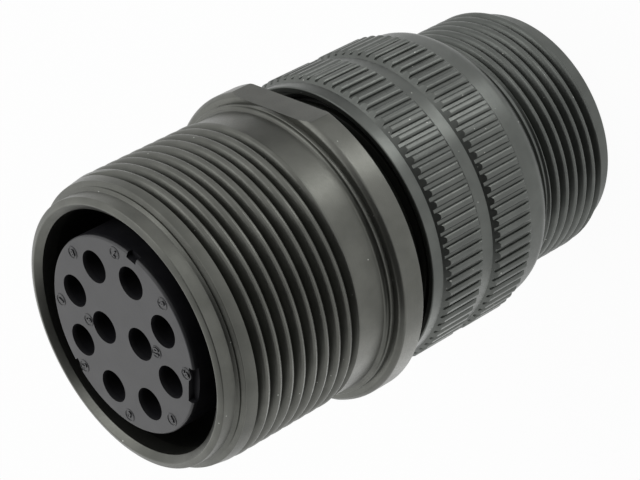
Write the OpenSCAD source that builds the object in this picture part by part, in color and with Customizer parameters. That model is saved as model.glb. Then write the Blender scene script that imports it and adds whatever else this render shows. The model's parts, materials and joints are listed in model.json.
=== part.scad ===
// Circular connector: a cable-connecting receptacle with socket contacts and a knurled backshell.
// It stands on the rear face of the backshell, with the mating end up along +Z.
// Lengths along the axis are counted from the mating rim towards the rear, as s.

/* [Coupling thread] */
// Outside diameter of the coupling thread
coupling_d = 28.5; // [28:0.1:29.5]
// Length of the coupling thread at full diameter
coupling_l = 12.05; // [9:0.05:14]
// Diameter of the plain pilot in front of the thread
pilot_d = 26.3; // [25.8:0.1:27]
// Length of the pilot
pilot_l = 1.7; // [0.8:0.1:2.5]
// Outside diameter of the narrow flat on the mating rim
rim_flat_d = 25.1; // [24.6:0.1:25.6]
// Drop of the rim's sloping face from that flat to the pilot
rim_drop = 0.25; // [0.1:0.05:0.5]
// Length of the cone between pilot and thread
lead_in_l = 1.7; // [1:0.1:3]

/* [Receptacle shell] */
// Diameter of the plain band behind the coupling thread
band_d = 28.1; // [27.4:0.1:28.4]
// Length of the plain band
band_l = 3.55; // [2:0.05:6]
// Diameter of the low collar in front of the flange
collar_d = 29.2; // [28.6:0.1:30]
// Length of the collar
collar_l = 0.5; // [0.2:0.05:1]
// Radius of the fillet between band and collar
collar_fillet = 0.35; // [0.1:0.05:0.5]
// Diameter of the flange
flange_d = 31.1; // [30.2:0.1:34]
// Thickness of the flange
flange_t = 2.75; // [2:0.05:5]
// Chamfer on the front edge of the flange
flange_chamfer = 0.4; // [0.1:0.05:0.6]
// Distance across the two wrench flats of the flange
flats_w = 29.7; // [28.6:0.1:30.6]
// Direction that the first wrench flat faces
flats_angle = -35.25; // [-180:0.25:180]
// Diameter of the mating bore
mating_bore_d = 23.8; // [23:0.1:24.2]
// Chamfer at the mouth of the mating bore
mating_chamfer = 0.15; // [0.05:0.05:0.3]
// Depth of the mating bore
mating_depth = 10.5; // [8:0.1:12]
// Height of the lip that stops the front insert
lip_h = 0.8; // [0.5:0.05:1]
// Thickness of the lip
lip_t = 1.5; // [1:0.1:3]
// Width of the polarising key in the mating bore
key_w = 3; // [2:0.1:3.4]
// Height of the polarising key
key_h = 1; // [0.6:0.1:1.6]
// Distance of the key's front end behind the rim
key_setback = 3.5; // [2:0.1:6]
// Outside diameter of the threaded rear barrel
barrel_d = 25.2; // [24.4:0.1:25.8]
// Length of the rear barrel behind the flange
barrel_l = 10.15; // [9:0.05:12]
// Depth of the thread relief next to the flange
relief_depth = 0.7; // [0.4:0.05:0.9]
// Length of the thread relief
relief_l = 1.5; // [1:0.1:3]
// Wall of the barrel round the inserts
barrel_wall = 1.8; // [1.6:0.05:2.1]
// Depth of the retaining ring's groove in the insert bore
ring_groove_depth = 0.55; // [0.3:0.05:0.6]

/* [Inserts] */
// Distance of the front insert's face behind the rim
face_recess = 0; // [0:0.1:3]
// Radial gap between the front insert's boss and the lip
boss_clear = 0.35; // [0.2:0.05:0.6]
// Length of the front insert's flange
front_flange_l = 4.2; // [3:0.1:6]
// Length of the rear insert
rear_insert_l = 10.8; // [9:0.1:12]
// Radial clearance of the inserts in the shell
insert_clear = 0.1; // [0.05:0.01:0.2]
// Chamfer on the edges of the inserts
insert_chamfer = 0.15; // [0.05:0.05:0.3]
// Direction of the main keyway and of the polarising key
keyway_angle = -136; // [-180:1:180]
// Width of the main keyway in the insert's face
keyway_w = 3.7; // [3:0.1:4.5]
// Radial depth of the main keyway
keyway_depth = 0.75; // [0.4:0.05:1]
// Step of the keyways below the insert's face
keyway_step = 0.6; // [0.3:0.1:2]
// Width of the two index notches in the insert's face
notch_w = 1.2; // [0.8:0.1:2]
// Radial depth of the index notches
notch_depth = 0.6; // [0.3:0.05:0.8]
// Angle from the main keyway to the first index notch
notch_1_angle = 82; // [40:1:120]
// Angle from the main keyway to the second index notch
notch_2_angle = 229; // [180:1:300]

/* [Contacts] */
// Number of contacts on the outer circle
ring_count = 8; // [6:1:8]
// Diameter of the outer contact circle
ring_circle_d = 13.3; // [12.8:0.01:13.6]
// Direction of the first contact on the outer circle
ring_angle = 33.4; // [0:0.1:45]
// Distance between the two inner contacts
pair_spacing = 5; // [4.4:0.1:5.4]
// Bore of a socket, for the mating pin
socket_bore_d = 1.6; // [1.5:0.01:1.7]
// Depth of a socket's bore
socket_depth = 7; // [5:0.1:9]
// Outside diameter of a socket's tines
socket_d = 2.2; // [2.1:0.05:2.3]
// Width of the slot between the tines
slot_w = 0.3; // [0.2:0.05:0.5]
// Length of the slot between the tines
slot_l = 5; // [3:0.1:6]
// Distance of the sockets' tips behind the insert's face
socket_recess = 2.5; // [2:0.1:4]
// Diameter of the collar that holds a contact
contact_collar_d = 3.5; // [3.2:0.1:3.7]
// Thickness of the contact's collar
contact_collar_t = 1.2; // [0.8:0.1:2]
// Diameter of the contact's shank and solder cup
shank_d = 2.5; // [2.3:0.05:2.6]
// Length of a solder cup behind the rear insert
cup_l = 5.5; // [4:0.1:6]
// Bore of a solder cup
cup_bore_d = 1.8; // [1.5:0.05:1.9]
// Length of the open side of a solder cup
cup_open_l = 2.5; // [1.5:0.1:3.5]
// Wall of a contact hood
hood_wall = 0.3; // [0.2:0.05:0.35]
// Length of a contact hood
hood_l = 8.6; // [7:0.1:10]
// Entry hole in the front end of a hood
hood_entry_d = 2; // [1.9:0.05:2.1]
// Thickness of the hood's front end
hood_lip_t = 0.4; // [0.2:0.05:0.6]
// Radial clearance between hood, socket and holes
contact_clear = 0.05; // [0.03:0.01:0.1]
// Diameter of the contact holes in the front insert
contact_hole_d = 3.15; // [3.05:0.01:3.3]

/* [Rings] */
// Thickness of the retaining ring
ring_t = 1; // [0.8:0.1:1.5]
// Radial width of the retaining ring
ring_w = 1.6; // [1.2:0.1:2]
// Gap between the ends of the retaining ring
ring_gap = 3; // [2:0.5:6]
// Thickness of the slip washer
washer_t = 1; // [0.6:0.1:1.5]
// Radial width of the slip washer
washer_w = 1.4; // [1:0.1:1.8]
// Axial gap left at each stacked face
seat_gap = 0.05; // [0.02:0.01:0.1]

/* [Backshell] */
// Gap between flange and backshell when screwed home
backshell_gap = 2.65; // [1:0.05:4]
// Wall of the backshell's plain turned part round the barrel
backshell_wall = 1.45; // [1.2:0.05:2]
// Length of the plain front rim
rim_l = 1.3; // [0.8:0.1:3]
// Height of the knurled bands
knurl_h = 0.55; // [0.45:0.05:0.9]
// Length of a knurled band at its foot
knurl_l = 5.25; // [4:0.05:8]
// Number of flutes round a knurled band
flute_count = 80; // [60:1:96]
// Depth of a flute
flute_depth = 0.34; // [0.2:0.02:0.4]
// Length of the plain groove between the bands
groove_l = 1.35; // [0.8:0.05:3]
// Length of the plain land behind the bands
tail_l = 1.5; // [0.6:0.1:4]
// Radius of the rounded shoulder between that land and the neck
shoulder_r = 1.4; // [0.4:0.05:1.6]
// Diameter of the neck
neck_d = 24.9; // [24.4:0.1:25.2]
// Length of the neck
neck_l = 2.9; // [2:0.1:6]
// Diameter of the bore that takes the cable
cable_bore_d = 20.8; // [19:0.1:21]
// Radial clearance of the backshell's thread on the barrel
barrel_clear = 0.1; // [0.05:0.01:0.15]
// Radial depth of the entry recess in the backshell's front
recess_h = 0.85; // [0.5:0.05:1]
// Length of the entry recess
recess_l = 1.2; // [0.5:0.1:3]
// Break on turned edges
edge = 0.15; // [0.05:0.05:0.25]

/* [Cable clamp thread] */
// Outside diameter of the cable clamp thread
clamp_d = 25.3; // [25.2:0.1:26]
// Length of the cable clamp thread
clamp_l = 7.4; // [5:0.1:12]
// Diameter of the plain end behind the thread
end_d = 23.56; // [22.6:0.02:24]
// Length of the plain end
end_l = 1.2; // [0.6:0.1:3]
// Chamfer at the mouth of the cable bore
mouth_chamfer = 0.4; // [0.1:0.05:0.6]

/* [Hidden] */
$fn = 96;

// Slope of the coupling thread's run-out against the radius
flank_angle = 30;
// Overshoot of every cut past the face it opens
cut = 0.5;
// Depth to which an added rib runs into its wall
sink = 0.4;

contact_count = ring_count + 2;

// Places along the axis of the receptacle shell
s_crest = pilot_l + lead_in_l;
s_thread_end = s_crest + coupling_l;
s_collar = s_thread_end + band_l;
s_flange = s_collar + collar_l;
s_flange_end = s_flange + flange_t;
s_barrel_end = s_flange_end + barrel_l;
s_seat = mating_depth + lip_t;

// Places along the axis of the inserts, the rings and the contacts
s_split = s_seat + front_flange_l;
s_insert_end = s_split + rear_insert_l;
s_ring = s_insert_end + seat_gap;
s_washer = s_barrel_end + seat_gap;
s_shoulder = s_washer + washer_t + seat_gap;
s_tip = face_recess + socket_recess;
s_collar_seat = s_split + seat_gap;
s_shank = s_collar_seat + contact_collar_t;
s_cup_end = s_insert_end + cup_l;
s_hood = s_tip - hood_lip_t - seat_gap;

// Places along the axis of the backshell
s_backshell = s_flange_end + backshell_gap;
s_knurl_1 = s_backshell + rim_l;
s_knurl_2 = s_knurl_1 + knurl_l + groove_l;
s_neck = s_knurl_2 + knurl_l + tail_l;
s_clamp = s_neck + neck_l;
s_clamp_end = s_clamp + clamp_l;
s_end = s_clamp_end + (clamp_d - end_d)/2 + end_l;
overall_l = s_end;

// Diameters that follow from the barrel and a wall, a height or a gap
insert_bore_d = barrel_d - 2*barrel_wall;
lip_d = insert_bore_d - 2*lip_h;
boss_d = lip_d - 2*boss_clear;
relief_d = barrel_d - 2*relief_depth;
barrel_bore_d = barrel_d + 2*barrel_clear;
recess_d = barrel_bore_d + 2*recess_h;
base_d = barrel_bore_d + 2*backshell_wall;
knurl_d = base_d + 2*knurl_h;

// Radii that follow from a neighbour and a clearance
insert_r = insert_bore_d/2 - insert_clear;
ring_r = insert_bore_d/2 + ring_groove_depth - insert_clear;
washer_r = barrel_bore_d/2 - barrel_clear;
hood_bore_r = socket_d/2 + contact_clear;
shank_hole_r = shank_d/2 + contact_clear;
collar_hole_r = contact_collar_d/2 + contact_clear;

// Height above the base of a place s behind the mating rim
function z_of(s) = overall_l - s;

function polar(r, angle) = [r*cos(angle), r*sin(angle)];

// Contacts on the outer circle first, then the two inner ones between its first and second spoke
function contact_place(i) = i < ring_count
    ? polar(ring_circle_d/2, ring_angle + i*360/ring_count)
    : polar(pair_spacing/2, ring_angle + 180/ring_count + (i - ring_count)*180);

// Turned solid from a profile of [radius, s] points
module turned(profile) {
    rotate_extrude() polygon([for (p = profile) [p[0], z_of(p[1])]]);
}

// Straight cylinder between two places on the axis
module rod(r, s_front, s_rear) {
    translate([0, 0, z_of(s_rear)]) cylinder(h = s_rear - s_front, r = r);
}

// Places its children at every contact
module at_contacts() {
    for (i = [0:contact_count - 1]) translate(contact_place(i)) children();
}

// Front shell, turned from bar; the coupling thread is cut on the cylinder behind the lead-in cone
module receptacle_shell() {
    color([0.26, 0.27, 0.23])
    difference() {
        union() {
            turned([
                [0, 0],
                [rim_flat_d/2, 0],
                [pilot_d/2, rim_drop],
                [pilot_d/2, pilot_l],
                [coupling_d/2, s_crest],
                [coupling_d/2, s_thread_end],
                [band_d/2, s_thread_end + (coupling_d - band_d)/2*tan(flank_angle)],
                [band_d/2, s_collar],
                [collar_d/2, s_collar],
                [collar_d/2, s_flange],
                [0, s_flange]
            ]);
            band_fillet();
            flange();
            turned([
                [0, s_flange_end - sink],
                [relief_d/2, s_flange_end - sink],
                [relief_d/2, s_flange_end + relief_l],
                [barrel_d/2, s_flange_end + relief_l + (barrel_d - relief_d)/2],
                [barrel_d/2, s_barrel_end - edge],
                [barrel_d/2 - edge, s_barrel_end],
                [0, s_barrel_end]
            ]);
        }
        rod(mating_bore_d/2, -cut, mating_depth);
        turned([
            [0, -cut],
            [mating_bore_d/2 + mating_chamfer + cut, -cut],
            [mating_bore_d/2, mating_chamfer],
            [0, mating_chamfer]
        ]);
        rod(lip_d/2, mating_depth - cut, s_seat + cut);
        rod(insert_bore_d/2, s_seat, s_barrel_end + cut);
        rod(insert_bore_d/2 + ring_groove_depth, s_insert_end, s_ring + ring_t + seat_gap);
    }
    color([0.26, 0.27, 0.23])
    polarising_key();
}

// Quarter-round fillet between the plain band and the collar's front face
module band_fillet() {
    rotate_extrude()
    translate([band_d/2, z_of(s_collar)])
    difference() {
        translate([-sink, -sink]) square(collar_fillet + sink);
        translate([collar_fillet, collar_fillet]) circle(r = collar_fillet);
    }
}

// Flange with a chamfered front edge and two wrench flats
module flange() {
    flat_cut = flange_d/2;
    difference() {
        turned([
            [0, s_flange - collar_l/2],
            [collar_d/2 - sink, s_flange - collar_l/2],
            [collar_d/2 - sink, s_flange],
            [flange_d/2 - flange_chamfer, s_flange],
            [flange_d/2, s_flange + flange_chamfer],
            [flange_d/2, s_flange_end - edge],
            [flange_d/2 - edge, s_flange_end],
            [0, s_flange_end]
        ]);
        for (side = [0, 180])
            rotate(flats_angle + side)
            translate([flats_w/2, -flat_cut, z_of(s_flange_end) - cut])
            cube([flat_cut, 2*flat_cut, flange_t + cut]);
    }
}

// Rib on the wall of the mating bore, which the keyway of the mating shell passes over
module polarising_key() {
    rotate(keyway_angle)
    translate([mating_bore_d/2 - key_h, -key_w/2, z_of(mating_depth) - sink])
    cube([key_h + sink, key_w, mating_depth - key_setback + sink]);
}

// Front insulator: the boss in the mating bore and the flange that the lip stops
module front_insert() {
    color([0.10, 0.10, 0.11])
    difference() {
        turned([
            [0, face_recess],
            [boss_d/2 - insert_chamfer, face_recess],
            [boss_d/2, face_recess + insert_chamfer],
            [boss_d/2, s_seat + seat_gap],
            [insert_r - insert_chamfer, s_seat + seat_gap],
            [insert_r, s_seat + seat_gap + insert_chamfer],
            [insert_r, s_split],
            [0, s_split]
        ]);
        at_contacts() rod(contact_hole_d/2, face_recess - cut, s_split + cut);
        edge_notch(keyway_angle, keyway_w, keyway_depth);
        edge_notch(keyway_angle + notch_1_angle, notch_w, notch_depth);
        edge_notch(keyway_angle + notch_2_angle, notch_w, notch_depth);
    }
}

// Cut in the rim of the front insert's face
module edge_notch(angle, width, depth) {
    rotate(angle)
    translate([boss_d/2 - depth, -width/2, z_of(face_recess + keyway_step)])
    cube([depth + cut, width, keyway_step + cut]);
}

// Rear insulator, with the pockets that close the contacts' collars in
module rear_insert() {
    color([0.12, 0.12, 0.13])
    difference() {
        turned([
            [0, s_split],
            [insert_r, s_split],
            [insert_r, s_insert_end - insert_chamfer],
            [insert_r - insert_chamfer, s_insert_end],
            [0, s_insert_end]
        ]);
        at_contacts() rod(collar_hole_r, s_split - cut, s_shank + seat_gap);
        at_contacts() rod(shank_hole_r, s_split - cut, s_insert_end + cut);
    }
}

// Split spring ring that holds the inserts in the shell
module retaining_ring() {
    color([0.62, 0.63, 0.64])
    difference() {
        rod(ring_r, s_ring, s_ring + ring_t);
        rod(ring_r - ring_w, s_ring - cut, s_ring + ring_t + cut);
        translate([0, -ring_gap/2, z_of(s_ring + ring_t) - cut])
        cube([ring_r + cut, ring_gap, ring_t + 2*cut]);
    }
}

// Flat washer that lets the backshell turn against the barrel's end
module slip_washer() {
    color([0.75, 0.73, 0.66])
    difference() {
        rod(washer_r, s_washer, s_washer + washer_t);
        rod(washer_r - washer_w, s_washer - cut, s_washer + washer_t + cut);
    }
}

// Rear shell, turned from bar, with two knurled bands; the cable clamp thread is cut on its rear cylinder
module backshell() {
    color([0.25, 0.28, 0.26])
    difference() {
        union() {
            turned([
                [0, s_backshell],
                [base_d/2 - edge, s_backshell],
                [base_d/2, s_backshell + edge],
                [base_d/2, s_neck],
                [base_d/2 - shoulder_r, s_neck],
                [base_d/2 - shoulder_r, s_neck + shoulder_r],
                [neck_d/2, s_neck + shoulder_r],
                [neck_d/2, s_clamp - (clamp_d - neck_d)/2],
                [clamp_d/2, s_clamp],
                [clamp_d/2, s_clamp_end],
                [end_d/2, s_clamp_end + (clamp_d - end_d)/2],
                [end_d/2, s_end - edge],
                [end_d/2 - edge, s_end],
                [0, s_end]
            ]);
            shoulder();
            knurled_band(s_knurl_1);
            knurled_band(s_knurl_2);
        }
        rod(recess_d/2, s_backshell - cut, s_backshell + recess_l);
        rod(barrel_bore_d/2, s_backshell - cut, s_shoulder);
        rod(cable_bore_d/2, s_shoulder - cut, s_end + cut);
        turned([
            [0, s_end - mouth_chamfer],
            [cable_bore_d/2, s_end - mouth_chamfer],
            [cable_bore_d/2 + mouth_chamfer + cut, s_end + cut],
            [0, s_end + cut]
        ]);
    }
}

// Quarter round that takes the land behind the bands down to the neck
module shoulder() {
    rotate_extrude()
    translate([base_d/2 - shoulder_r, z_of(s_neck)])
    intersection() {
        circle(r = shoulder_r);
        translate([-sink, -shoulder_r]) square(shoulder_r + sink);
    }
}

// One straight-knurled band: a fluted prism whose ends run out on 45 degree cones
module knurled_band(s_front) {
    crest_r = knurl_d/2;
    intersection() {
        translate([0, 0, z_of(s_front + knurl_l)]) linear_extrude(knurl_l) fluted_outline(crest_r);
        turned([
            [0, s_front],
            [base_d/2, s_front],
            [crest_r + edge, s_front + knurl_h + edge],
            [crest_r + edge, s_front + knurl_l - knurl_h - edge],
            [base_d/2, s_front + knurl_l],
            [0, s_front + knurl_l]
        ]);
    }
}

// Outline of the flutes, each with a narrow floor and a flat crest
module fluted_outline(crest_r) {
    step = 360/flute_count;
    floor_share = 0.06;
    crest_share = 0.2;
    polygon([for (i = [0:flute_count - 1]) each [
        polar(crest_r - flute_depth, step*(i - floor_share)),
        polar(crest_r - flute_depth, step*(i + floor_share)),
        polar(crest_r, step*(i + 0.5 - crest_share)),
        polar(crest_r, step*(i + 0.5 + crest_share))
    ]]);
}

// Turned contact: slotted socket in front, collar, shank and solder cup
module socket_contact(i) {
    place = contact_place(i);
    color([0.80, 0.66, 0.34])
    translate(place)
    difference() {
        turned([
            [0, s_tip],
            [socket_d/2, s_tip],
            [socket_d/2, s_collar_seat],
            [contact_collar_d/2, s_collar_seat],
            [contact_collar_d/2, s_shank],
            [shank_d/2, s_shank],
            [shank_d/2, s_cup_end],
            [0, s_cup_end]
        ]);
        rod(socket_bore_d/2, s_tip - cut, s_tip + socket_depth);
        translate([-socket_d, -slot_w/2, z_of(s_tip + slot_l)])
        cube([2*socket_d, slot_w, slot_l + cut]);
        rod(cup_bore_d/2, s_insert_end + cup_l/4, s_cup_end + cut);
        rotate(atan2(place[1], place[0]))
        translate([0, -shank_d, z_of(s_cup_end) - cut])
        cube([shank_d, 2*shank_d, cup_open_l + cut]);
    }
}

// Thin sleeve round the tines, with a closed-in entry
module contact_hood(i) {
    color([0.72, 0.72, 0.70])
    translate(contact_place(i))
    difference() {
        rod(hood_bore_r + hood_wall, s_hood, s_hood + hood_l);
        rod(hood_bore_r, s_hood + hood_lip_t, s_hood + hood_l + cut);
        rod(hood_entry_d/2, s_hood - cut, s_hood + hood_lip_t + cut);
    }
}

receptacle_shell();
front_insert();
rear_insert();
retaining_ring();
slip_washer();
backshell();
for (i = [0:contact_count - 1]) {
    socket_contact(i);
    contact_hood(i);
}
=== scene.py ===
import bpy
import bmesh
import json
import math
from mathutils import Matrix, Vector

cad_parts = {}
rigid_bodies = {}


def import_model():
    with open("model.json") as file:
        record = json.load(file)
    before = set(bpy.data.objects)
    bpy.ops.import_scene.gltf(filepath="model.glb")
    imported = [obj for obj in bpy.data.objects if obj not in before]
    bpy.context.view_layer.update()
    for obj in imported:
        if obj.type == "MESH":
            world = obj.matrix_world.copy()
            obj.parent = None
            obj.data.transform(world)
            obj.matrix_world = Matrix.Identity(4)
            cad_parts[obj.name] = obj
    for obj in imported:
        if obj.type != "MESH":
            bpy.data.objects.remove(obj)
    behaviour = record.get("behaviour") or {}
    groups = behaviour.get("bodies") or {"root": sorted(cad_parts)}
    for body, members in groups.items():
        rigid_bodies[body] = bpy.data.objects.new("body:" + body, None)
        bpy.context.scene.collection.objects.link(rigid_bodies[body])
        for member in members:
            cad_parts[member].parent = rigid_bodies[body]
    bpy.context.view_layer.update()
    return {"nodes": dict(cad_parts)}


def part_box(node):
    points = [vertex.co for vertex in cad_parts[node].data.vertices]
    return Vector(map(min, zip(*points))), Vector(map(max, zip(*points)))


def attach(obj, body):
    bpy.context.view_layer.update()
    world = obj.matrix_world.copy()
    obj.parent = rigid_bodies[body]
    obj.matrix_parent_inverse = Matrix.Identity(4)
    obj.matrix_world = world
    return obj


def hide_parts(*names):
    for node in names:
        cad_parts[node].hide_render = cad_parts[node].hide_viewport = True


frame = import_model()
bpy.ops.object.select_all(action="DESELECT")

# The camera stands in front of the connector and above its mating end. It is turned on its side, as in
# the photograph, so that the connector's axis runs from the lower left to the upper right.
camera_turn = [math.radians(angle) for angle in (-33.927, 46.189, -132.751)]
bpy.ops.object.camera_add(location=(0, -0.19041, 0.16182), rotation=camera_turn)
camera = bpy.context.object
camera.name = "camera"
camera.data.lens = 139.344
camera.data.sensor_width = 36
camera.data.clip_start = 0.01
bpy.context.scene.camera = camera

# The receptacle shell is one piece of aluminium, turned from bar, with an olive drab finish over its
# plating. The coupling thread is cut on the front, then come a plain band, a low collar, the flange with
# its two wrench flats, and at the rear the threaded barrel on which the backshell is screwed.
mm = 0.001
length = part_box("receptacle_shell")[1].z/mm


# An outline's corner is a radius and a distance behind the mating rim, both in millimetres.
# Where it has a third number, that is the radius of its rounding.
def round_off(corners):
    outline = []
    for i, corner in enumerate(corners):
        here = Vector(corner[:2])
        if len(corner) == 2:
            outline.append(here)
            continue
        radius = corner[2]
        before = (Vector(corners[i - 1][:2]) - here).normalized()
        after = (Vector(corners[(i + 1) % len(corners)][:2]) - here).normalized()
        half = before.angle(after)/2
        middle = here + (before + after).normalized()*radius/math.sin(half)
        first = here + before*radius/math.tan(half) - middle
        last = here + after*radius/math.tan(half) - middle
        steps = max(2, round((math.pi - 2*half)/math.radians(15)))
        for k in range(steps + 1):
            outline.append(middle + first.lerp(last, k/steps).normalized()*radius)
    return outline


# A line starts as a small plane merged to one point, which is extruded from place to place.
def draw_line(name, places):
    bpy.ops.object.select_all(action="DESELECT")
    bpy.ops.mesh.primitive_plane_add(size=mm)
    piece = bpy.context.object
    piece.name = name
    bpy.ops.object.mode_set(mode="EDIT")
    bpy.ops.mesh.select_all(action="SELECT")
    bpy.ops.mesh.merge(type="CENTER")
    bpy.ops.transform.translate(value=places[0])
    for here, there in zip(places, places[1:]):
        step = [b - a for a, b in zip(here, there)]
        bpy.ops.mesh.extrude_region_move(TRANSFORM_OT_translate={"value": step})
    return piece


# An outline is a line beside the axis whose two ends are joined.
def draw_outline(name, outline):
    piece = draw_line(name, [(r*mm, 0, (length - s)*mm) for r, s in outline])
    drawn = bmesh.from_edit_mesh(piece.data)
    for corner in drawn.verts:
        corner.select_set(len(corner.link_edges) == 1)
    drawn.select_flush_mode()
    bpy.ops.mesh.edge_face_add()
    return piece


def close_up(piece):
    bpy.ops.mesh.select_all(action="SELECT")
    bpy.ops.mesh.remove_doubles(threshold=1e-6)
    bpy.ops.mesh.normals_make_consistent(inside=False)
    bpy.ops.object.mode_set(mode="OBJECT")
    return piece


def turn_on_lathe(name, outline, steps=240):
    piece = draw_outline(name, round_off(outline))
    bpy.ops.mesh.select_all(action="SELECT")
    bpy.ops.mesh.spin(steps=steps, angle=2*math.pi, center=(0, 0, 0), axis=(0, 0, 1))
    return close_up(piece)


# The cutter is a groove's outline wound into a helix. Its ends draw back from the work ring by ring,
# so that the groove runs out at both ends as a cut thread does.
def screw_cutter(name, outline, lead, turns):
    piece = draw_outline(name, outline)
    bpy.ops.object.mode_set(mode="OBJECT")
    helix = piece.modifiers.new("helix", "SCREW")
    helix.axis = "Z"
    helix.angle = 2*math.pi
    helix.screw_offset = lead*mm
    helix.iterations = turns
    helix.steps = 120
    helix.render_steps = 120
    bpy.ops.object.modifier_apply(modifier=helix.name)
    bpy.ops.object.mode_set(mode="EDIT")
    bpy.ops.mesh.select_all(action="DESELECT")
    bpy.ops.mesh.select_non_manifold(use_non_contiguous=False)
    bpy.ops.mesh.edge_face_add()
    for ring in range(8):
        bpy.ops.transform.translate(value=(0.1*mm, 0, 0))
        bpy.ops.mesh.select_more()
    return close_up(piece)


# The groove has flanks at 30 degrees, which ease into the crests beside it with a rounding.
def thread_groove(crest, depth, ease, s):
    root_half = 0.02
    half = root_half + (depth - ease/2)*math.tan(math.radians(30)) + ease*math.sin(math.radians(60))
    side = [(crest - depth, root_half)]
    for angle in (60, 46, 32, 18, 4):
        turn = math.radians(angle)
        side.append((crest - ease + ease*math.cos(turn), half - ease*math.sin(turn)))
    mouth_half = half + 0.005
    side += [(crest + 0.02, mouth_half), (crest + 0.9, mouth_half)]
    front = [(across, s - along) for across, along in side]
    rear = [(across, s + along) for across, along in side[::-1]]
    return front + rear


def work(piece, tool, way="DIFFERENCE"):
    bpy.ops.object.select_all(action="DESELECT")
    bpy.context.view_layer.objects.active = piece
    piece.select_set(True)
    cut = piece.modifiers.new("cut", "BOOLEAN")
    cut.operation = way
    cut.solver = "MANIFOLD"
    cut.object = tool
    bpy.ops.object.modifier_apply(modifier=cut.name)
    bpy.data.objects.remove(tool)


# A block reaches from the first to the last number along each axis, then turns about the connector's axis.
def block(name, turn, x, y, z):
    bpy.ops.object.select_all(action="DESELECT")
    bpy.ops.mesh.primitive_cube_add(size=1)
    piece = bpy.context.object
    piece.name = name
    piece.location = ((x[0] + x[1])/2*mm, (y[0] + y[1])/2*mm, (z[0] + z[1])/2*mm)
    piece.scale = ((x[1] - x[0])*mm, (y[1] - y[0])*mm, (z[1] - z[0])*mm)
    bpy.ops.object.transform_apply(location=True, rotation=True, scale=True)
    piece.rotation_euler = (0, 0, math.radians(turn))
    bpy.ops.object.transform_apply(location=True, rotation=True, scale=True)
    return piece


def smooth(piece):
    bpy.ops.object.select_all(action="DESELECT")
    bpy.context.view_layer.objects.active = piece
    piece.select_set(True)
    bpy.ops.object.shade_smooth_by_angle(angle=math.radians(32))
    even = piece.modifiers.new("even", "WEIGHTED_NORMAL")
    even.keep_sharp = True
    bpy.ops.object.modifier_apply(modifier=even.name)


bore_r = 11.9
mouth_r = 12.55
mouth_l = 0.55
pilot_r = 13.15
pilot_end = 1.6
nick = [(13.5, 1.78), (13.4, 1.9), (13.95, 2.1, 0.06)]
coupling_r = 14.25
thread_front = 3.9
thread_end = 15.45
band_r = 14.05
collar_r = 14.6
collar_front = 19
flange_r = 15.55
flange_front = 19.5
flange_rear = 22.25
flange_edge = 0.4
relief_r = 11.9
relief_end = 23.75
barrel_r = 12.6
barrel_front = 24.45
barrel_end = 32.4
barrel_edge = 0.15
insert_bore_r = 10.8
ring_groove_r = 11.35
ring_groove_front = 27
ring_groove_rear = 28.1
lip_r = 10
lip_front = 10.5
lip_rear = 12
shell = turn_on_lathe("shell", [
    (bore_r, mouth_l, 0.08), (mouth_r, 0, 0.15), (pilot_r, 0.25, 0.12), (pilot_r, pilot_end, 0.08),
    *nick, (coupling_r, thread_front), (coupling_r, thread_end), (band_r, thread_end + 0.12),
    (band_r, collar_front, 0.35), (collar_r, collar_front, 0.1), (collar_r, flange_front),
    (flange_r - flange_edge, flange_front, 0.4), (flange_r, flange_front + flange_edge, 0.4),
    (flange_r, flange_rear, 0.15), (relief_r, flange_rear), (relief_r, relief_end),
    (barrel_r, barrel_front), (barrel_r, barrel_end - barrel_edge), (barrel_r - barrel_edge, barrel_end),
    (insert_bore_r, barrel_end), (insert_bore_r, ring_groove_rear), (ring_groove_r, ring_groove_rear),
    (ring_groove_r, ring_groove_front), (insert_bore_r, ring_groove_front), (insert_bore_r, lip_rear),
    (lip_r, lip_rear), (lip_r, lip_front), (bore_r, lip_front),
])

coupling_lead = 1.411
coupling_turns = 9
coupling_groove = thread_groove(coupling_r, depth=0.75, ease=0.42, s=thread_end + 0.46)
work(shell, screw_cutter("coupling cutter", coupling_groove, coupling_lead, coupling_turns))
rear_lead = 1.27
barrel_turns = 8
barrel_last = 24.8 + (barrel_turns - 1)*rear_lead
barrel_groove = thread_groove(barrel_r, depth=0.6, ease=0.15, s=barrel_last)
work(shell, screw_cutter("barrel cutter", barrel_groove, rear_lead, barrel_turns))

flat_turn = -35.25
flat_r = 14.62
clear_r = 18
flat_rear = 23
flat_z = (length - flat_rear, length - flange_front)
for side in (0, 180):
    work(shell, block("wrench flat", flat_turn + side, (flat_r, clear_r), (-clear_r, clear_r), flat_z))
key_turn = -136
key_half = 1.5
key_h = 1
key_foot = 0.4
key_front = 3.5
key_rear = 10.7
key_x = (bore_r - key_h, bore_r + key_foot)
key_z = (length - key_rear, length - key_front)
work(shell, block("key", key_turn, key_x, (-key_half, key_half), key_z), "UNION")
smooth(shell)


def start_finish(name):
    finish = bpy.data.materials.new(name)
    finish.use_nodes = True
    tree = finish.node_tree
    place = tree.nodes.new("ShaderNodeTexCoord").outputs["Object"]
    return finish, tree, tree.nodes["Principled BSDF"].inputs, place


def noise(tree, place, scale, detail):
    cloud = tree.nodes.new("ShaderNodeTexNoise")
    cloud.inputs["Scale"].default_value = scale
    cloud.inputs["Detail"].default_value = detail
    tree.links.new(place, cloud.inputs["Vector"])
    return cloud.outputs["Fac"]


def stretch(tree, place, scale):
    stretched = tree.nodes.new("ShaderNodeMapping")
    stretched.inputs["Scale"].default_value = scale
    tree.links.new(place, stretched.inputs["Vector"])
    return stretched.outputs["Vector"]


def two_tones(tree, amount, low, dark, high, light):
    tones = tree.nodes.new("ShaderNodeValToRGB")
    tones.color_ramp.elements[0].position = low
    tones.color_ramp.elements[0].color = (*dark, 1)
    tones.color_ramp.elements[1].position = high
    tones.color_ramp.elements[1].color = (*light, 1)
    tree.links.new(amount, tones.inputs["Fac"])
    return tones.outputs["Color"]


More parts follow.
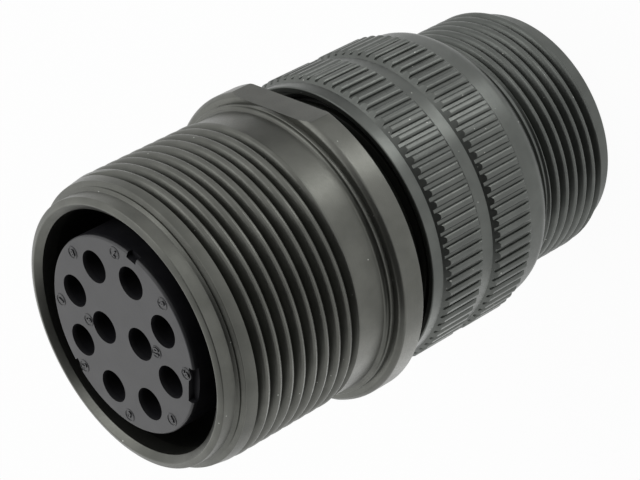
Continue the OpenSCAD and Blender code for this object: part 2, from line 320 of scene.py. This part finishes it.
def grade(tree, amount, low, high, first, last):
    graded = tree.nodes.new("ShaderNodeMapRange")
    graded.inputs["From Min"].default_value = low
    graded.inputs["From Max"].default_value = high
    graded.inputs["To Min"].default_value = first
    graded.inputs["To Max"].default_value = last
    tree.links.new(amount, graded.inputs["Value"])
    return graded.outputs["Result"]


def combine(tree, way, one, other):
    combined = tree.nodes.new("ShaderNodeMath")
    combined.operation = way
    tree.links.new(one, combined.inputs[0])
    tree.links.new(other, combined.inputs[1])
    return combined.outputs["Value"]


def cover(tree, share, under, colour):
    covered = tree.nodes.new("ShaderNodeMix")
    covered.data_type = "RGBA"
    covered.inputs[7].default_value = (*colour, 1)
    tree.links.new(share, covered.inputs[0])
    tree.links.new(under, covered.inputs[6])
    return covered.outputs[2]


# The zone lies between two distances behind the mating rim.
def zone(tree, height, front, rear):
    inside = tree.nodes.new("ShaderNodeMath")
    inside.operation = "COMPARE"
    inside.inputs[1].default_value = (length - (front + rear)/2)*mm
    inside.inputs[2].default_value = (rear - front)/2*mm
    tree.links.new(height, inside.inputs[0])
    return inside.outputs["Value"]


def emboss(tree, amount, strength, depth, under=None):
    bump = tree.nodes.new("ShaderNodeBump")
    bump.inputs["Strength"].default_value = strength
    bump.inputs["Distance"].default_value = depth
    tree.links.new(amount, bump.inputs["Height"])
    if under:
        tree.links.new(under, bump.inputs["Normal"])
    return bump.outputs["Normal"]


def olive_finish(name, light, deep, tool_marks, crest, front, rear):
    finish, tree, surface, place = start_finish(name)

    # The coat is slightly mottled and grained, with a few pale specks of dust.
    mottle = two_tones(tree, noise(tree, place, 420, 4), 0.35, deep, 0.68, light)
    grain = noise(tree, place, 7000, 3)
    tree.links.new(grade(tree, grain, 0.3, 0.7, 0.3, 0.42), surface["Roughness"])
    dust = tree.nodes.new("ShaderNodeTexVoronoi")
    dust.inputs["Scale"].default_value = 650
    dust.inputs["Randomness"].default_value = 1
    tree.links.new(place, dust.inputs["Vector"])
    speck = grade(tree, dust.outputs["Distance"], 0.05, 0.03, 0, 1)
    dusted = cover(tree, speck, mottle, (0.42, 0.43, 0.4))

    # Painted shade darkens the grooves of the outer thread, most towards their roots.
    across = tree.nodes.new("ShaderNodeVectorMath")
    across.operation = "MULTIPLY"
    across.inputs[1].default_value = (1, 1, 0)
    tree.links.new(place, across.inputs[0])
    reach = tree.nodes.new("ShaderNodeVectorMath")
    reach.operation = "LENGTH"
    tree.links.new(across.outputs["Vector"], reach.inputs[0])
    radius = reach.outputs["Value"]
    along = tree.nodes.new("ShaderNodeSeparateXYZ")
    tree.links.new(place, along.inputs["Vector"])
    height = along.outputs["Z"]
    sunk = grade(tree, radius, (crest - 0.08)*mm, (crest - 0.6)*mm, 0, 0.5)
    painted_groove_shade = combine(tree, "MULTIPLY", sunk, zone(tree, height, front, rear))

    # Painted shade darkens the barrel in the gap between the two shells and takes its metal gloss away
    # there.
    gap_shade_front = 22.3
    gap_shade_rear = 33.5
    gap_shade_r = 13
    inner = tree.nodes.new("ShaderNodeMath")
    inner.operation = "LESS_THAN"
    inner.inputs[1].default_value = gap_shade_r*mm
    tree.links.new(radius, inner.inputs[0])
    joint = zone(tree, height, gap_shade_front, gap_shade_rear)
    painted_gap_shade = combine(tree, "MULTIPLY", joint, inner.outputs["Value"])
    tree.links.new(grade(tree, painted_gap_shade, 0, 1, 0.9, 0), surface["Metallic"])
    tree.links.new(grade(tree, painted_gap_shade, 0, 1, 0.5, 0.1), surface["Specular IOR Level"])
    # Both painted shades darken the coat to near black where they lie.
    painted_shade = combine(tree, "MAXIMUM", painted_groove_shade, painted_gap_shade)
    coat_with_painted_shade = cover(tree, painted_shade, dusted, (0.012, 0.013, 0.011))
    tree.links.new(coat_with_painted_shade, surface["Base Color"])

    # The lathe tool left fine rings under the grain of the coat.
    rings = noise(tree, stretch(tree, place, (40, 40, tool_marks)), 1, 2)
    turned = emboss(tree, rings, 0.12, 0.03*mm)
    tree.links.new(emboss(tree, grain, 0.25, 0.02*mm, turned), surface["Normal"])
    return finish


def dress(piece, finish):
    piece.data.materials.clear()
    piece.data.materials.append(finish)


shell_light = (0.128, 0.13, 0.117)
shell_deep = (0.105, 0.107, 0.096)
dress(shell, olive_finish("olive shell finish", shell_light, shell_deep, tool_marks=9000,
                          crest=coupling_r, front=2.2, rear=thread_end + 0.3))
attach(shell, "receptacle")
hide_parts("receptacle_shell")

# The front insert is a moulding of black plastic with ten contact holes, pushed into the shell from the
# rear. Its boss stands free in the mating bore, with one keyway and two index notches in its front edge.
boss_r = 9.65
seat = 12.05
insert_r = 10.7
insert_edge = 0.15
insert_end = 16.2
insert = turn_on_lathe("insert", [
    (0, 0), (boss_r, 0, 0.25), (boss_r, seat), (insert_r - insert_edge, seat),
    (insert_r, seat + insert_edge), (insert_r, insert_end), (0, insert_end),
], steps=160)


def around(r, angle):
    turn = math.radians(angle)
    return r*mm*math.cos(turn), r*mm*math.sin(turn)


hole_r = 1.6
hole_front = -0.4
hole_rear = 17
outer_circle_r = 6.65
inner_circle_r = 2.5
first_hole = 33.4
outer_holes = [(outer_circle_r, first_hole + 45*i) for i in range(8)]
inner_holes = [(inner_circle_r, first_hole + 22.5 + 180*i) for i in range(2)]
for r, angle in outer_holes + inner_holes:
    drill = turn_on_lathe("drill", [
        (0, hole_front), (hole_r, hole_front), (hole_r, hole_rear), (0, hole_rear),
    ], steps=48)
    drill.data.transform(Matrix.Translation((*around(r, angle), 0)))
    work(insert, drill)
notch_z = (length - 0.6, length + 0.5)
notches = ((key_turn, 3.7, 0.75), (key_turn + 82, 1.2, 0.6), (key_turn + 229, 1.2, 0.6))
for turn, width, depth in notches:
    work(insert, block("notch", turn, (boss_r - depth, 11), (-width/2, width/2), notch_z))
smooth(insert)

# The plastic is glossy on the face and dull in the holes, with faint flow marks and fine pits.
moulded, tree, surface, place = start_finish("black moulded plastic")
along = tree.nodes.new("ShaderNodeSeparateXYZ")
tree.links.new(place, along.inputs["Vector"])
gloss = grade(tree, along.outputs["Z"], (length - 0.6)*mm, (length - 0.15)*mm, 0.05, 0.6)
tree.links.new(gloss, surface["Specular IOR Level"])
flow = noise(tree, place, 500, 5)
shade = two_tones(tree, flow, 0.3, (0.011, 0.011, 0.013), 0.7, (0.018, 0.018, 0.02))
tree.links.new(shade, surface["Base Color"])
tree.links.new(grade(tree, flow, 0, 1, 0.34, 0.5), surface["Roughness"])
pits = noise(tree, place, 5000, 2)
tree.links.new(emboss(tree, pits, 0.2, 0.03*mm), surface["Normal"])
dress(insert, moulded)
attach(insert, "receptacle")
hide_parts("front_insert")

# The contact numbers are moulded on the insert's face, each raised in a small ring beside its hole.
# They are plain numbers from one to ten, in the order of the contacts.
outer_mark_r = 8.62
outer_mark_turn = 17
inner_mark_r = 4.75
mark_sink = 0.02
digit_h = 0.9
digit_rise = 0.1
digit_edge = 0.02
ring_r = 0.58
ring_rise = 0.08
mark_places = [(outer_mark_r, angle + outer_mark_turn, angle) for r, angle in outer_holes]
mark_places += [(inner_mark_r, angle, angle) for r, angle in inner_holes]
marks = []
for count, (mark_r, aside, angle) in enumerate(mark_places, 1):
    mark_place = (*around(mark_r, aside), (length - mark_sink)*mm)
    bpy.ops.object.text_add(location=(0, 0, 0))
    number = bpy.context.object
    number.data.body = str(count)
    number.data.align_x = "CENTER"
    number.data.align_y = "CENTER"
    number.data.size = digit_h*mm
    number.data.offset = digit_edge*mm
    number.data.extrude = digit_rise*mm
    number.data.bevel_depth = digit_edge*mm
    bpy.ops.object.convert(target="MESH")
    number.rotation_euler = (0, 0, math.radians(angle + 90))
    number.location = mark_place
    bpy.ops.object.transform_apply(location=True, rotation=True, scale=True)
    bpy.ops.mesh.primitive_torus_add(location=mark_place, major_radius=ring_r*mm,
                                     minor_radius=ring_rise*mm, major_segments=32, minor_segments=8)
    ring = bpy.context.object
    bpy.ops.object.transform_apply(location=True, rotation=True, scale=True)
    marks += [number, ring]
bpy.ops.object.select_all(action="DESELECT")
for mark in marks:
    mark.select_set(True)
bpy.context.view_layer.objects.active = marks[0]
bpy.ops.object.join()
numbers = bpy.context.object
numbers.name = "contact_numbers"
dress(numbers, moulded)
smooth(numbers)
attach(numbers, "receptacle")

# The rear insert is a second moulding of the same black plastic. It lies behind the front one and closes
# the pockets of the contacts' collars.
dress(frame["nodes"]["rear_insert"], moulded)


# The contacts are turned from brass and plated, with slotted sockets in front and solder cups behind.
# Each socket has a thin hood of drawn steel pushed over its tines.
def bare_metal(name, light, dark, rough, tool_marks):
    finish, tree, surface, place = start_finish(name)
    surface["Metallic"].default_value = 1
    marks = noise(tree, stretch(tree, place, tool_marks), 1, 3)
    tarnish = two_tones(tree, marks, 0.3, dark, 0.7, light)
    tree.links.new(tarnish, surface["Base Color"])
    tree.links.new(grade(tree, marks, 0, 1, rough - 0.08, rough + 0.08), surface["Roughness"])
    tree.links.new(emboss(tree, marks, 0.15, 0.02*mm), surface["Normal"])
    return finish


plating = bare_metal("contact plating", (0.72, 0.56, 0.27), (0.55, 0.42, 0.2), 0.3, (600, 600, 6000))
hood_steel = bare_metal("hood steel", (0.56, 0.56, 0.54), (0.44, 0.44, 0.43), 0.35, (2500, 2500, 300))
for i in range(1, 11):
    dress(frame["nodes"]["socket_contact_%d" % i], plating)
    dress(frame["nodes"]["contact_hood_%d" % i], hood_steel)

# The retaining ring is a split ring of spring steel. It snaps into a groove of the shell behind the rear
# insert and keeps both inserts in their place.
ring_steel = bare_metal("spring steel", (0.46, 0.46, 0.46), (0.34, 0.34, 0.35), 0.35, (900, 900, 900))
dress(frame["nodes"]["retaining_ring"], ring_steel)

# The slip washer is a flat ring stamped from steel. It lies loose between the end of the barrel and the
# shoulder in the backshell, so that the backshell can turn against it.
washer_steel = bare_metal("washer steel", (0.58, 0.57, 0.54), (0.46, 0.45, 0.43), 0.4, (1500, 1500, 1500))
dress(frame["nodes"]["slip_washer"], washer_steel)

# The backshell is turned from aluminium bar and finished in a slightly greener olive drab. Two bands of
# straight knurling give the grip, and the thread behind the neck takes the cable clamp.
land_r = 14.15
crest_r = 14.7
neck_r = 12.45
clamp_r = 12.65
tail_r = 11.78
cable_r = 10.4
cable_edge = 0.4
joint_r = 12.7
entry_r = 13.55
front_end = 24.9
entry_end = 26.1
joint_end = 33.5
band_places = (26.2, 32.8)
band_l = 5.25
band_slope = 0.55
shoulder = 40.95
clamp_front = 42.45
clamp_end = 49.85
bands = []
for place in band_places:
    bands += [
        (land_r, place, 0.06), (crest_r, place + band_slope, 0.12),
        (crest_r, place + band_l - band_slope, 0.12), (land_r, place + band_l, 0.06),
    ]
backshell = turn_on_lathe("rear_shell", [
    (entry_r, front_end, 0.1), (land_r, front_end, 0.16), *bands, (land_r, shoulder, 1.4),
    (neck_r, shoulder, 0.2), (neck_r, clamp_front - 0.2), (clamp_r, clamp_front), (clamp_r, clamp_end),
    (tail_r, clamp_end + clamp_r - tail_r), (tail_r, length, 0.15), (cable_r + cable_edge, length),
    (cable_r, length - cable_edge), (cable_r, joint_end), (joint_r, joint_end), (joint_r, entry_end),
    (entry_r, entry_end),
])
clamp_turns = 10
clamp_last = 42.6325 + (clamp_turns - 1)*rear_lead
clamp_groove = thread_groove(clamp_r, depth=0.66, ease=0.38, s=clamp_last)
work(backshell, screw_cutter("clamp cutter", clamp_groove, rear_lead, clamp_turns))

# The flutes of both bands are cut in one pass, each with a narrow floor and flanks that round over.
flute_count = 80
flute_floor_r = 14.34
flute_half = 0.57
flank_h = 0.37
flank_w = 0.4
flank = []
for step in range(6):
    turn = step*math.pi/10
    flank.append((flute_floor_r + flank_h*math.sin(turn), flute_half - flank_w*math.cos(turn)))
flute_top = [(15.2, -0.56), (15.2, 0.56)]
flute_section = [(r, -t) for r, t in flank] + flute_top + flank[::-1]
flute_rear = 38.8
flute_l = 13.2
flutes = draw_line("flute cutter", [(r*mm, t*mm, (length - flute_rear)*mm) for r, t in flute_section])
bpy.ops.mesh.select_all(action="SELECT")
bpy.ops.mesh.edge_face_add()
bpy.ops.mesh.extrude_region_move(TRANSFORM_OT_translate={"value": (0, 0, flute_l*mm)})
bpy.ops.mesh.select_all(action="SELECT")
bpy.ops.mesh.spin(steps=flute_count, dupli=True, angle=2*math.pi, center=(0, 0, 0), axis=(0, 0, 1))
work(backshell, close_up(flutes))
smooth(backshell)
backshell_light = (0.122, 0.129, 0.12)
backshell_deep = (0.1, 0.106, 0.099)
dress(backshell, olive_finish("olive backshell finish", backshell_light, backshell_deep, tool_marks=7000,
                              crest=clamp_r, front=clamp_front, rear=clamp_end))
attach(backshell, "backshell")
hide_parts("backshell")

# The floor is a plain pale sheet. To the camera and in reflections it is nearly as white as the
# photograph's background, with a part of it left to catch the connector's soft shadow.
floor_place = (0, 0, -0.00002)
bpy.ops.object.select_all(action="DESELECT")
bpy.ops.mesh.primitive_circle_add(vertices=64, radius=1.6, fill_type="NGON", location=floor_place)
floor = bpy.context.object
floor.name = "floor"
bpy.ops.object.transform_apply(location=True, rotation=True, scale=True)
sheet = bpy.data.materials.new("pale sheet")
sheet.use_nodes = True
tree = sheet.node_tree
tree.nodes.remove(tree.nodes["Principled BSDF"])
matt = tree.nodes.new("ShaderNodeBsdfDiffuse")
matt.inputs["Color"].default_value = (0.8, 0.8, 0.8, 1)
white = tree.nodes.new("ShaderNodeEmission")
white.inputs["Color"].default_value = (1, 1, 1, 1)
white.inputs["Strength"].default_value = 1
rays = tree.nodes.new("ShaderNodeLightPath").outputs
seen = rays["Is Camera Ray"]
for ray in ("Is Glossy Ray", "Is Transmission Ray"):
    seen = combine(tree, "ADD", seen, rays[ray])
    seen.node.use_clamp = True
share = tree.nodes.new("ShaderNodeMath")
share.operation = "MULTIPLY"
share.inputs[1].default_value = 0.96
tree.links.new(seen, share.inputs[0])
mixed = tree.nodes.new("ShaderNodeMixShader")
tree.links.new(share.outputs["Value"], mixed.inputs["Fac"])
tree.links.new(matt.outputs["BSDF"], mixed.inputs[1])
tree.links.new(white.outputs["Emission"], mixed.inputs[2])
tree.links.new(mixed.outputs["Shader"], tree.nodes["Material Output"].inputs["Surface"])
floor.data.materials.append(sheet)

# The room is an even pale studio, white where the camera sees it. A dark flag with a soft edge hangs
# overhead on the camera's side, so that the shells' upper sides stay deep in tone.
room = bpy.data.worlds.new("studio")
bpy.context.scene.world = room
room.use_nodes = True
tree = room.node_tree
wall = tree.nodes["Background"].inputs
wall["Color"].default_value = (1, 1, 1, 1)
toward = tree.nodes.new("ShaderNodeVectorMath")
toward.operation = "DOT_PRODUCT"
toward.inputs[1].default_value = (-0.4, -0.53, 0.748)
tree.links.new(tree.nodes.new("ShaderNodeTexCoord").outputs["Generated"], toward.inputs[0])
flag = grade(tree, toward.outputs["Value"], 0.58, 0.84, 1, 0.04)
flag.node.interpolation_type = "SMOOTHSTEP"
level = tree.nodes.new("ShaderNodeMix")
level.inputs[3].default_value = 1
tree.links.new(tree.nodes.new("ShaderNodeLightPath").outputs["Is Camera Ray"], level.inputs[0])
tree.links.new(flag, level.inputs[2])
tree.links.new(level.outputs[0], wall["Strength"])

# Three soft panels lie low beside the connector and give the long highlights on its cylinders. A fourth
# stands at the side for the cones, and a fifth behind for the faces that are turned up.
panels = (
    ("low panel", (0.036, -0.07, 0.0015), (180, 0, 30), 0.02, 0.064, 0.0102),
    ("near panel", (0.0145, -0.033, 0.0015), (180, 0, 30), 0.011, 0.019, 0.0014),
    ("left panel", (-0.056, 0.014, 0.0015), (180, 0, 0), 0.05, 0.035, 0.0038),
    ("side panel", (0.19, -0.03, 0.28), (0, 39, -9), 0.22, 0.2, 0.18),
    ("back panel", (0, 0.41, 0.34), (-54, 0, 0), 0.5, 0.35, 0.24),
)
for name, place, turns, wide, high, energy in panels:
    bpy.ops.object.light_add(type="AREA", location=place)
    panel = bpy.context.object
    panel.name = name
    panel.data.shape = "RECTANGLE"
    panel.data.size = wide
    panel.data.size_y = high
    panel.data.energy = energy
    panel.rotation_euler = [math.radians(angle) for angle in turns]
    panel.visible_camera = False

# A square card covered in grey felt lies on the floor to the right of the low panels. Only the shells'
# reflections show it, as the dark stripe beside the highlight.
bpy.ops.object.select_all(action="DESELECT")
bpy.ops.mesh.primitive_plane_add(size=0.045, location=(0.0715, -0.01, 0.001))
card = bpy.context.object
card.name = "grey card"
bpy.ops.object.transform_apply(location=True, rotation=True, scale=True)
felt = bpy.data.materials.new("grey felt")
felt.use_nodes = True
nap = felt.node_tree.nodes["Principled BSDF"].inputs
nap["Base Color"].default_value = (0.2, 0.2, 0.2, 1)
nap["Roughness"].default_value = 1
card.data.materials.append(felt)
card.visible_camera = False
card.visible_diffuse = False
card.visible_shadow = False

# The picture keeps the plain tones of the scene.
bpy.context.scene.view_settings.view_transform = "Standard"
